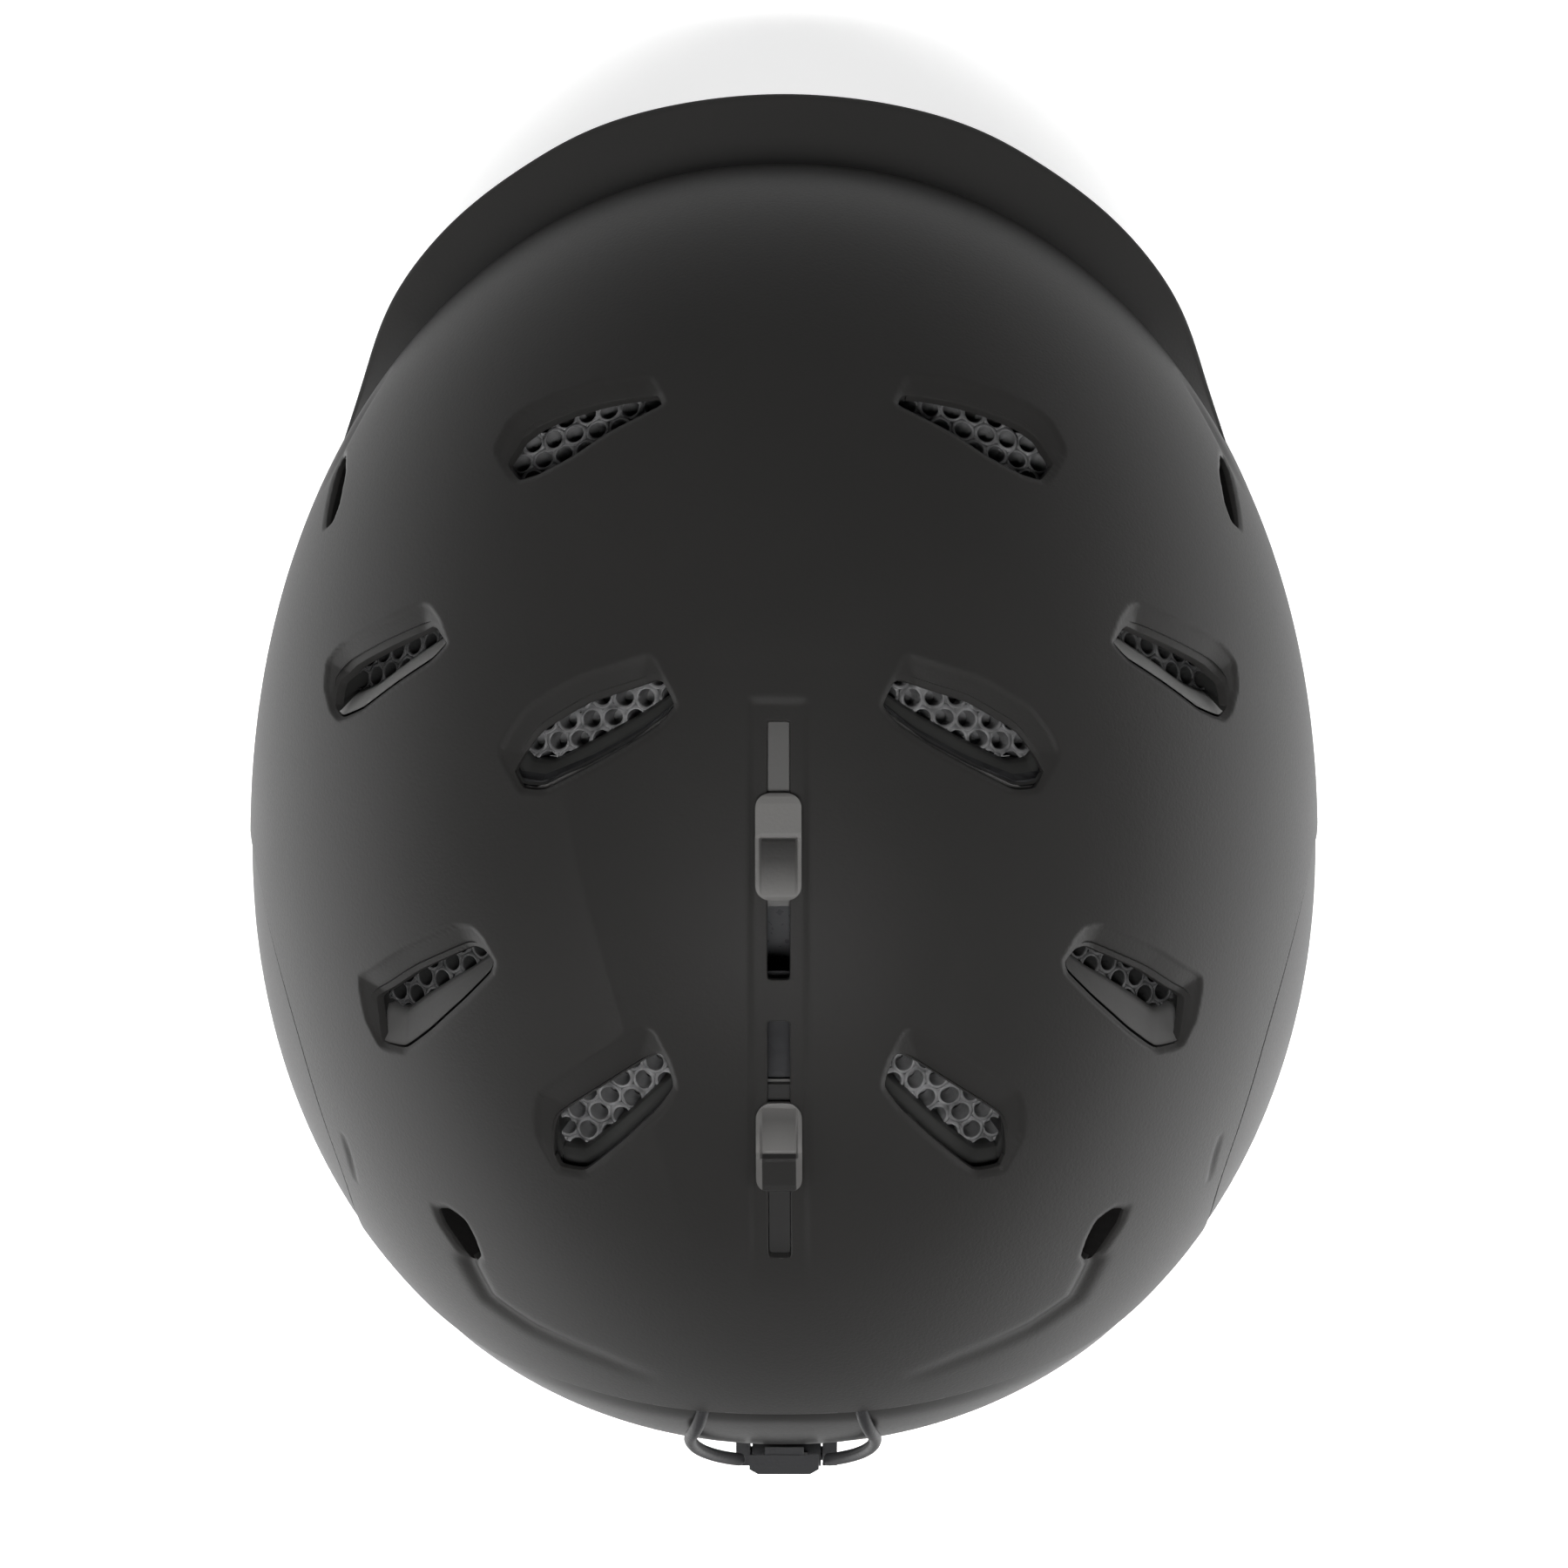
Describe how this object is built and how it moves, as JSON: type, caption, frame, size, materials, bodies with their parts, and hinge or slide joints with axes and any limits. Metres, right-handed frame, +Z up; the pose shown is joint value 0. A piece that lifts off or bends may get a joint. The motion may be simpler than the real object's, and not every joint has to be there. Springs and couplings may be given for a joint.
{
  "type": "ski helmet",
  "caption": "Matte black ski helmet with a short brim, slanted vents over a tube core, two centre vent sliders, goggle clip, ear pads, dial fit cradle and chin strap.",
  "frame": {"origin": "middle of the helmet's plan extents, on the flat that the ear pads stand on", "axes": "+Z up through the crown, the brim faces -Y, the wearer's left side is +X"},
  "size_m": [0.222, 0.2872, 0.1978],
  "materials": {
    "shell_matte": "soft-touch matte black, fine grain",
    "shell_side": "matte black moulded polycarbonate",
    "shell_gloss": "satin black moulded polycarbonate",
    "trim_rubber": "soft black edge trim",
    "brim_plastic": "soft-touch matte black",
    "steel": "blackened steel",
    "foam": "black expanded polystyrene, fine beads",
    "tube_core": "dark grey translucent extruded tubes",
    "liner_plastic": "thin smooth low-friction sheet",
    "rubber": "elastomer",
    "pad_fabric": "brushed knit over foam",
    "ear_fabric": "fleece and knit over foam",
    "chin_fabric": "fleece sleeve",
    "fitting_plastic": "satin black nylon",
    "track_plastic": "matte black acetal",
    "clip_plastic": "black thermoplastic elastomer",
    "webbing": "woven black polyester webbing",
    "buckle_plastic": "black acetal",
    "magnet_steel": "nickel plated magnet",
    "knob_plastic": "soft grey-black plastic",
    "carrier_plastic": "dark grey acetal",
    "dial_plastic": "rubberised black grip"
  },
  "bodies": {
    "helmet": {"top_shell": "shell_matte", "side_panel_left": "shell_side", "side_panel_right": "shell_side", "rear_panel": "shell_gloss", "rim_trim": "trim_rubber", "brim": "brim_plastic", "brim_pins": "steel", "eps_liner": "foam", "honeycomb_front_left": "tube_core", "honeycomb_front_right": "tube_core", "honeycomb_side_left": "tube_core", "honeycomb_side_right": "tube_core", "honeycomb_mid_left": "tube_core", "honeycomb_mid_right": "tube_core", "honeycomb_rear_side_left": "tube_core", "honeycomb_rear_side_right": "tube_core", "honeycomb_rear_left": "tube_core", "honeycomb_rear_right": "tube_core", "slip_liner": "liner_plastic", "slip_liner_studs": "rubber", "brow_pad": "pad_fabric", "crown_pad": "pad_fabric", "side_pad_left": "pad_fabric", "side_pad_right": "pad_fabric", "ear_pad_left": "ear_fabric", "ear_pad_right": "ear_fabric", "ear_pad_snaps": "fitting_plastic", "front_slider_track": "track_plastic", "rear_slider_track": "track_plastic", "cradle_guides": "fitting_plastic", "cradle_pins": "steel", "goggle_clip_bracket": "clip_plastic", "goggle_clip_arms": "clip_plastic", "goggle_clip_screws": "steel", "goggle_clip_pin": "steel", "strap_upper_left": "webbing", "strap_upper_right": "webbing", "strap_anchors": "fitting_plastic", "strap_dividers": "fitting_plastic", "strap_lower_left": "webbing", "strap_lower_right": "webbing", "chin_pad": "chin_fabric", "strap_adjuster": "fitting_plastic", "buckle_base": "buckle_plastic", "buckle_magnet_upper": "magnet_steel"},
    "front_vent_slider": {"front_vent_knob": "knob_plastic", "front_vent_carrier": "carrier_plastic", "front_vent_shutter": "carrier_plastic"},
    "rear_vent_slider": {"rear_vent_knob": "knob_plastic", "rear_vent_carrier": "carrier_plastic", "rear_vent_shutter": "carrier_plastic"},
    "goggle_clip": {"goggle_clip_tongue": "clip_plastic"},
    "fit_cradle": {"cradle_band": "fitting_plastic", "dial_housing": "fitting_plastic", "nape_pad": "pad_fabric"},
    "fit_dial": {"dial": "dial_plastic", "dial_pinion": "fitting_plastic"},
    "buckle_slide_half": {"buckle_slider": "buckle_plastic", "buckle_magnet_lower": "magnet_steel", "strap_end_left": "webbing"}
  },
  "joints": [
    {"name": "front_vent_slide", "type": "hinge", "parent": "helmet", "child": "front_vent_slider", "pos_m": [0, 0.012, 0.0384], "axis": [-1, 0, 0], "range_deg": [0, 5.8]},
    {"name": "rear_vent_slide", "type": "hinge", "parent": "helmet", "child": "rear_vent_slider", "pos_m": [0, 0.0156, 0.0544], "axis": [1, 0, 0], "range_deg": [0, 6.4]},
    {"name": "goggle_clip_hinge", "type": "hinge", "parent": "helmet", "child": "goggle_clip", "pos_m": [0, 0.1409, 0.046], "axis": [-1, 0, 0], "range_deg": [0, 110]},
    {"name": "cradle_slide", "type": "slide", "parent": "helmet", "child": "fit_cradle", "axis": [0, -1, 0], "range_m": [0, 0.0101]},
    {"name": "dial_turn", "type": "hinge", "parent": "fit_cradle", "child": "fit_dial", "pos_m": [0, 0.1052, 0.0385], "axis": [0, 1, 0], "range_deg": [0, 360]},
    {"name": "buckle_release", "type": "slide", "parent": "helmet", "child": "buckle_slide_half", "axis": [0, 1, 0], "range_m": [0, 0.014]}
  ],
  "couplings": [
    {"joint": "cradle_slide", "follows": "dial_turn", "m_per_rad": 0.0015915}
  ]
}
